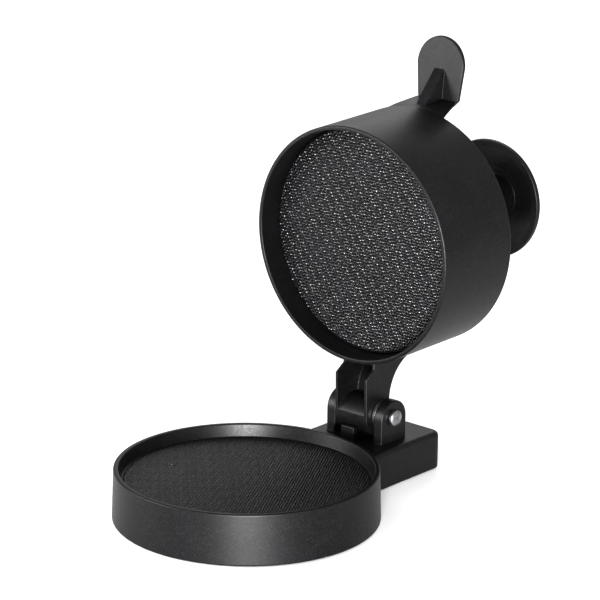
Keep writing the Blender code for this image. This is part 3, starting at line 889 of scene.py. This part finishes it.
def make_small_turned_pieces(steel, spring_steel, bronze):
    """Washers, clips, bushes, the sleeve and the hub: each a turned piece with softened edges."""
    bore = SPINDLE_R + CLEAR
    side = ARM_HALF_WIDTH + CLEAR
    ear = EAR_INNER_X - CLEAR
    bush_r = 4.8 * MM
    bush_end = 0.4 * MM
    washer_r = 7.6 * MM
    clip_outer, clip_inner = -EAR_OUTER_X - 1.3 * MM, -EAR_OUTER_X - 0.3 * MM
    washer_bore = PIN_R + CLEAR
    pin_clip = ring(PIN_R + SNUG, 5.4 * MM, clip_outer, clip_inner)
    pin_pieces = [
        ("hinge_pin_clip", "base", pin_clip, steel, "bright_steel"),
        ("hinge_washer_left", "base", ring(washer_bore, washer_r, -ear, -side), steel, "bright_steel"),
        ("hinge_washer_right", "base", ring(washer_bore, washer_r, side, ear), steel, "bright_steel"),
    ]
    for node, start, end in (
        ("hinge_bush_left", -ARM_HALF_WIDTH, -bush_end),
        ("hinge_bush_right", bush_end, ARM_HALF_WIDTH),
    ):
        bush = ring(washer_bore, bush_r, start, end)
        pin_pieces.append((node, "housing", bush, bronze, "bearing_bronze"))
    sleeve = rounded(
        [
            (bore, 42.9 * MM, 0.3 * MM),
            (SLEEVE_R, 42.9 * MM, 0.3 * MM),
            (SLEEVE_R, SEAT_START, 0.5 * MM),
            (11.3 * MM, SEAT_START, 0.4 * MM),
            (11.3 * MM, SEAT_START + 2.0 * MM, 0.4 * MM),
            (bore, SEAT_START + 2.0 * MM, 0.3 * MM),
        ]
    )
    hub_start = PLATE_RECESS + PLATE_T + CLEAR
    hub = rounded(
        [
            (7.5 * MM, hub_start, 0.2 * MM),
            (16.0 * MM, hub_start, 0.3 * MM),
            (16.0 * MM, hub_start + 3.0 * MM, 0.5 * MM),
            (9.5 * MM, hub_start + 3.0 * MM, 1.0 * MM),
            (9.5 * MM, 23.8 * MM, 0.5 * MM),
            (bore, 23.8 * MM, 0.3 * MM),
            (bore, 20.4 * MM, 0.2 * MM),
            (7.5 * MM, 20.4 * MM, 0.2 * MM),
        ]
    )
    guide = ring(SLEEVE_R + CLEAR, 9.6 * MM, 46.6 * MM, BOSS_TOP - 0.2 * MM)
    stop_washer = ring(SLEEVE_R + CLEAR, 12.5 * MM, 44.9 * MM, 46.0 * MM)
    stop_clip = ring(SLEEVE_R + SNUG, 9.8 * MM, 43.7 * MM, 44.6 * MM)
    spindle_clip = ring(4.15 * MM, 7.0 * MM, 18.7 * MM, 19.6 * MM)
    press_pieces = [
        ("guide_bush", "housing", guide, bronze, "bearing_bronze"),
        ("sleeve_stop_washer", "sleeve", stop_washer, steel, "bright_steel"),
        ("sleeve_stop_clip", "sleeve", stop_clip, spring_steel, "spring_steel"),
        ("spindle_clip", "spindle", spindle_clip, spring_steel, "spring_steel"),
        ("thread_sleeve", "sleeve", sleeve, steel, "bright_steel"),
        ("plate_hub", "plate", hub, steel, "bright_steel"),
    ]
    for pieces, place in ((pin_pieces, PIN_FRAME), (press_pieces, PRESS_FRAME)):
        for node, body, outline, material, slot in pieces:
            piece = object_of(node + "_turned", turned(outline, SMALL_ROUND), place)
            finish_piece(piece, body, [node], material, slot)


def make_spring(spring_steel):
    """A round-wire coil spring whose end turns close up on their seats."""
    start = BOSS_TOP + CLEAR + SPRING_WIRE_R
    length = SEAT_START - CLEAR - SPRING_WIRE_R - start
    per_turn = 48
    sides = 14
    steps = int(SPRING_TURNS * per_turn)
    dead = 0.9
    wire = 2.05 * SPRING_WIRE_R
    rings = []
    for i in range(steps + 1):
        turns = i / per_turn
        if turns < dead:
            rise = wire * turns
        elif turns > SPRING_TURNS - dead:
            rise = length - wire * (SPRING_TURNS - turns)
        else:
            share = (turns - dead) / (SPRING_TURNS - 2 * dead)
            rise = wire * dead + share * (length - 2 * wire * dead)
        angle = 2 * math.pi * turns
        points = []
        for k in range(sides):
            a = 2 * math.pi * k / sides
            r = SPRING_R + SPRING_WIRE_R * math.cos(a)
            z = start + rise + SPRING_WIRE_R * math.sin(a)
            points.append((r * math.cos(angle), r * math.sin(angle), z))
        rings.append(points)
    spring = object_of("return_spring_coil", loft(rings), PRESS_FRAME)
    finish_piece(spring, "housing", ["return_spring"], spring_steel, "spring_steel", 60)
    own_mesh(spring)


def make_plate(coated):
    """The press plate: pebbled face towards the mouth, with a skirt that guides it in the bore."""
    edge = 0.5 * MM
    back = -PLATE_T
    skirt = -PLATE_SKIRT
    mesh_data, border = pebbled_disc(PLATE_R - edge, PLATE_PEBBLE, PLATE_PEBBLE_HEIGHT, 0.3 * MM)
    turns = [math.radians(90 * k / 4) for k in range(1, 5)]
    profile = [(PLATE_R - edge * (1 - math.sin(a)), -edge * (1 - math.cos(a))) for a in turns]
    profile += [
        (PLATE_R, skirt + 0.3 * MM),
        (PLATE_R - 0.3 * MM, skirt),
        (PLATE_R - 2.7 * MM, skirt),
        (PLATE_R - 3.0 * MM, skirt + 0.3 * MM),
        (PLATE_R - 3.8 * MM, back - 0.3 * MM),
        (PLATE_R - 4.2 * MM, back),
    ]
    close_disc(mesh_data, border, profile)
    turn = Matrix.Rotation(math.radians(180), 4, "X")
    place = PRESS_FRAME @ Matrix.Translation((0, 0, PLATE_RECESS)) @ turn
    plate = object_of("press_plate_face", mesh_data, place)
    finish_piece(plate, "plate", ["press_plate"], coated, "black_coated_plate", 60)


def make_screws(steel):
    for name in ("plate_screw_1", "plate_screw_2", "plate_screw_3"):
        low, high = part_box(name)
        centre = PRESS_FRAME.inverted() @ ((low + high) / 2)
        back = PLATE_RECESS + PLATE_T
        head = back + CLEAR + 3.0 * MM + CLEAR
        outline = rounded(
            [
                (0, back - 2.1 * MM, 0),
                (1.4 * MM, back - 2.1 * MM, 0.2 * MM),
                (1.4 * MM, head, 0.1 * MM),
                (2.4 * MM, head, 0.2 * MM),
                (2.4 * MM, head + 1.2 * MM, 0.6 * MM),
                (1.2 * MM, head + 1.7 * MM, 0.2 * MM),
                (1.0 * MM, head + 0.9 * MM, 0.1 * MM),
                (0, head + 0.9 * MM, 0),
            ],
            3,
        )
        mesh_data = turned(outline, 48)
        place = PRESS_FRAME @ Matrix.Translation((centre.x, centre.y, 0))
        screw = object_of(name + "_socket_head", mesh_data, place)
        finish_piece(screw, "plate", [name], steel, "bright_steel")


def make_spindle(steel):
    """The spindle, with a rounded thread of the lead that the joints couple it by."""
    lead = 2 * math.pi / frame["record"]["behaviour"]["couplings"][0]["ratio"]
    depth = 0.5 * MM
    start = PLATE_RECESS + PLATE_T + CLEAR
    thread_start, thread_end = 24.5 * MM, 118.0 * MM
    end = 121.5 * MM
    round_steps = 40
    step = lead / 10
    heights = [start, 18.4 * MM, 18.41 * MM, 19.89 * MM, 19.9 * MM]
    heights += [thread_start + step * i for i in range(int((thread_end - thread_start) / step) + 1)]
    heights += [end - 0.5 * MM, end]
    rings = []
    for z in heights:
        points = []
        for i in range(round_steps):
            a = 2 * math.pi * i / round_steps
            radius = SPINDLE_R
            if 18.405 * MM < z < 19.895 * MM:
                radius = 4.0 * MM
            elif thread_start < z < thread_end:
                phase = (z / lead - a / (2 * math.pi)) % 1.0
                fade = min(1.0, (z - thread_start) / lead, (thread_end - z) / lead)
                crest = max(-1.0, min(1.0, 2.2 * math.cos(2 * math.pi * phase)))
                radius -= depth * fade * (0.5 + 0.5 * crest)
            elif z == end:
                radius -= 0.5 * MM
            points.append((radius * math.cos(a), radius * math.sin(a), z))
        rings.append(points)
    spindle = object_of("spindle_threaded", loft(rings), PRESS_FRAME)
    finish_piece(spindle, "spindle", ["spindle"], steel, "bright_steel", 60)


def make_knob(cast, steel):
    bore = SPINDLE_R + CLEAR
    bore_end = 122.0 * MM
    outline = rounded(
        [
            (bore, KNOB_START, 0.4 * MM),
            (KNOB_HUB_R, KNOB_START, 0.8 * MM),
            (KNOB_HUB_R, 117.7 * MM, 0.3 * MM),
            (16.0 * MM, 116.4 * MM, 6 * MM),
            (27.4 * MM, 110.9 * MM, 2.5 * MM),
            (KNOB_R, 110.4 * MM, 0.5 * MM),
            (KNOB_R, 113.0 * MM, 1.2 * MM),
            (27.5 * MM, 116.6 * MM, 6 * MM),
            (19.0 * MM, 122.2 * MM, 12 * MM),
            (8.0 * MM, KNOB_END - 0.3 * MM, 10 * MM),
            (0, KNOB_END, 0),
            (0, bore_end, 0),
            (bore, bore_end, 0),
        ],
        8,
    )
    knob = object_of(
        "knob_cap",
        turned(outline, ROUND),
        PRESS_FRAME,
    )
    screw_z = 102.0 * MM
    screw_r = 2.0 * MM
    radial = PRESS_FRAME @ Matrix.Translation((0, 0, screw_z)) @ Matrix.Rotation(math.radians(-90), 4, "X")
    hole = [(0, 3 * MM), (screw_r + 0.2 * MM, 3 * MM), (screw_r + 0.2 * MM, 14 * MM), (0, 14 * MM)]
    combine(knob, turned(hole, 48), radial, "DIFFERENCE")
    finish_piece(knob, "spindle", ["knob"], cast, "black_cast_aluminium")

    start = SPINDLE_R + 2 * CLEAR
    end = KNOB_HUB_R - CLEAR
    socket_r = 1.1 * MM
    screw = rounded(
        [
            (0, start, 0),
            (screw_r, start, 0.3 * MM),
            (screw_r, end, 0.2 * MM),
            (socket_r, end, 0.1 * MM),
            (socket_r, end - 2 * MM, 0.1 * MM),
            (0, end - 2 * MM, 0),
        ],
        3,
    )
    screw_data = turned(screw, 48)
    obj = object_of("knob_set_screw_socket", screw_data, radial)
    finish_piece(obj, "spindle", ["knob_set_screw"], steel, "bright_steel")


def build():
    make_camera()
    make_stage()
    # Each coat: dark and light tone, roughness, grain, fleck tone, specular level, level in the grooves
    # (painted groove shade).
    cast = coated_material(
        "black_powder_coat", (0.0015,) * 3, (0.0032, 0.0030, 0.0036), 0.42, 0.5, (0.02, 0.02, 0.022), 0.22
    )
    coated = coated_material(
        "black_plate_coat", (0.002,) * 3, (0.003, 0.003, 0.004), 0.27, 0.1, (0.005, 0.005, 0.005), 0.42, 0.0
    )
    floor_coat = coated_material(
        "black_floor_coat", (0.002,) * 3, (0.003, 0.003, 0.004), 0.24, 0.1, (0.005, 0.005, 0.005), 0.7, 0.0
    )
    steel = metal_material("turned_steel", (0.14, 0.14, 0.14), (0.36, 0.36, 0.37), 0.38, 1200.0, 0.4)
    spring_steel = metal_material("spring_wire", (0.22, 0.22, 0.23), (0.36, 0.36, 0.37), 0.32, 900.0, 0.2)
    bronze = metal_material("bearing_bronze_turned", (0.36, 0.22, 0.10), (0.48, 0.31, 0.15), 0.38, 900.0, 0.2)
    rubber = rubber_material()
    make_base(cast)
    make_dish_floor(floor_coat)
    make_feet(rubber)
    make_pin(steel)
    make_housing(cast)
    make_small_turned_pieces(steel, spring_steel, bronze)
    make_spring(spring_steel)
    make_plate(coated)
    make_screws(steel)
    make_spindle(steel)
    make_knob(cast, steel)


build()
